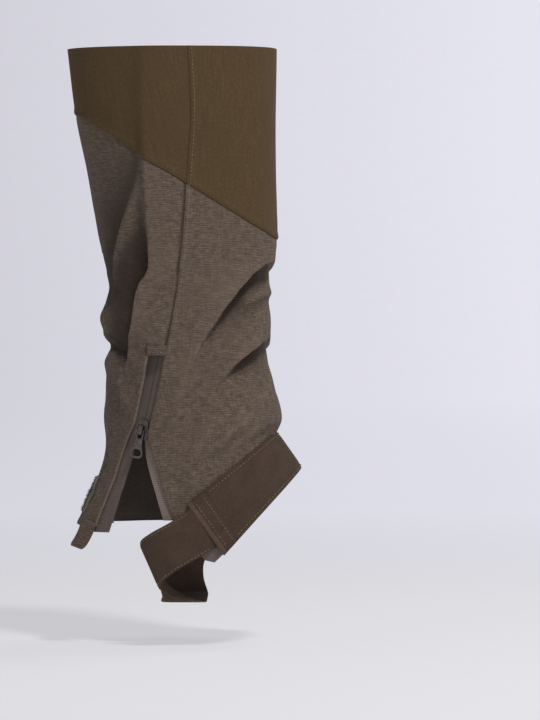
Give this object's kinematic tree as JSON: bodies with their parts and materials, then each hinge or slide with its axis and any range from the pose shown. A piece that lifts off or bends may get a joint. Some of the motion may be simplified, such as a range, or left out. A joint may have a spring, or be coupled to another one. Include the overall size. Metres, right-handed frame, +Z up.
{
  "type": "gaiter",
  "caption": "Right lower-leg gaiter in two cloths, with a side zip open at the hem, a rear cuff that swings back, an instep band and a strap under the boot's arch.",
  "frame": {"origin": "centre of the top opening, level with its upper edge", "axes": "+Z up along the leg, +X towards the toe, -Y out of the outer side of a right leg"},
  "size_m": [0.1795, 0.1288, 0.4254],
  "materials": {
    "olive_cloth": "smooth twill, matt",
    "taupe_cloth": "fine cross ribs, matt",
    "band_cloth": "dense flat weave, matt",
    "lining": "plain weave, matt",
    "zip_tape": "woven zip tape",
    "hook_loop": "hook and loop tape, fuzzy",
    "pale_tape": "flat tape",
    "thread": "sewing thread",
    "zip_coil": "nylon coil",
    "zip_metal": "dark lacquered metal, satin"
  },
  "bodies": {
    "sleeve": {"upper_front_panel": "olive_cloth", "upper_rear_panel": "olive_cloth", "lower_front_panel": "taupe_cloth", "lower_rear_panel": "taupe_cloth", "inner_gusset": "taupe_cloth", "top_elastic": "hook_loop", "top_hem_facing": "lining", "zip_tape_front": "zip_tape", "zip_tape_rear_upper": "zip_tape", "zip_coil_front": "zip_coil", "zip_coil_rear_upper": "zip_coil", "zip_top_stop": "zip_metal", "zip_bottom_stop_front": "zip_metal", "zip_garage": "taupe_cloth", "instep_band": "band_cloth", "instep_band_lining": "lining", "band_end_binding": "band_cloth", "band_loop_patch": "hook_loop", "strap_side": "band_cloth", "strap_root_tab": "pale_tape"},
    "zip_slider": {"slider_body": "zip_metal", "slider_bridge": "zip_metal", "slider_lock_spring": "zip_metal"},
    "zip_pull": {"pull_tab": "zip_metal"},
    "rear_cuff": {"rear_cuff_panel": "taupe_cloth", "cuff_hem_facing": "lining", "zip_tape_rear_lower": "zip_tape", "zip_coil_rear_lower": "zip_coil", "zip_bottom_stop_rear": "zip_metal", "cuff_loop_patch": "hook_loop"},
    "tab_of_hem": {"hem_tab": "taupe_cloth", "hem_tab_hook_patch": "hook_loop"},
    "strap_under": {"strap_sole": "band_cloth"},
    "strap_end": {"strap_tail": "band_cloth", "strap_hook_patch": "hook_loop"}
  },
  "joints": [
    {"name": "zip_slide", "type": "slide", "parent": "sleeve", "child": "zip_slider", "axis": [0.2131, -0.0999, 0.9719], "range_m": [0, 0.043]},
    {"name": "pull_swing", "type": "hinge", "parent": "zip_slider", "child": "zip_pull", "pos_m": [-0.02247, -0.04917, -0.29274], "axis": [-0.8839, 0.4042, 0.2353], "range_deg": [0, 150]},
    {"name": "cuff_swing", "type": "hinge", "parent": "sleeve", "child": "rear_cuff", "pos_m": [-0.0255, 0, -0.2995], "axis": [0, -1, 0], "range_deg": [0, 25], "deforming": ["inner_gusset"]},
    {"name": "hem_tab_peel", "type": "hinge", "parent": "rear_cuff", "child": "tab_of_hem", "pos_m": [-0.06371, -0.02648, -0.36287], "axis": [-0.5879, 0.7905, 0.1715], "range_deg": [0, 110]},
    {"name": "strap_drop", "type": "hinge", "parent": "sleeve", "child": "strap_under", "pos_m": [0.01, -0.03285, -0.42535], "axis": [-1, 0, 0], "range_deg": [0, 60]},
    {"name": "strap_tail_peel", "type": "hinge", "parent": "strap_under", "child": "strap_end", "pos_m": [0.01, 0.03585, -0.42535], "axis": [-1, 0, 0], "range_deg": [0, 90]}
  ]
}
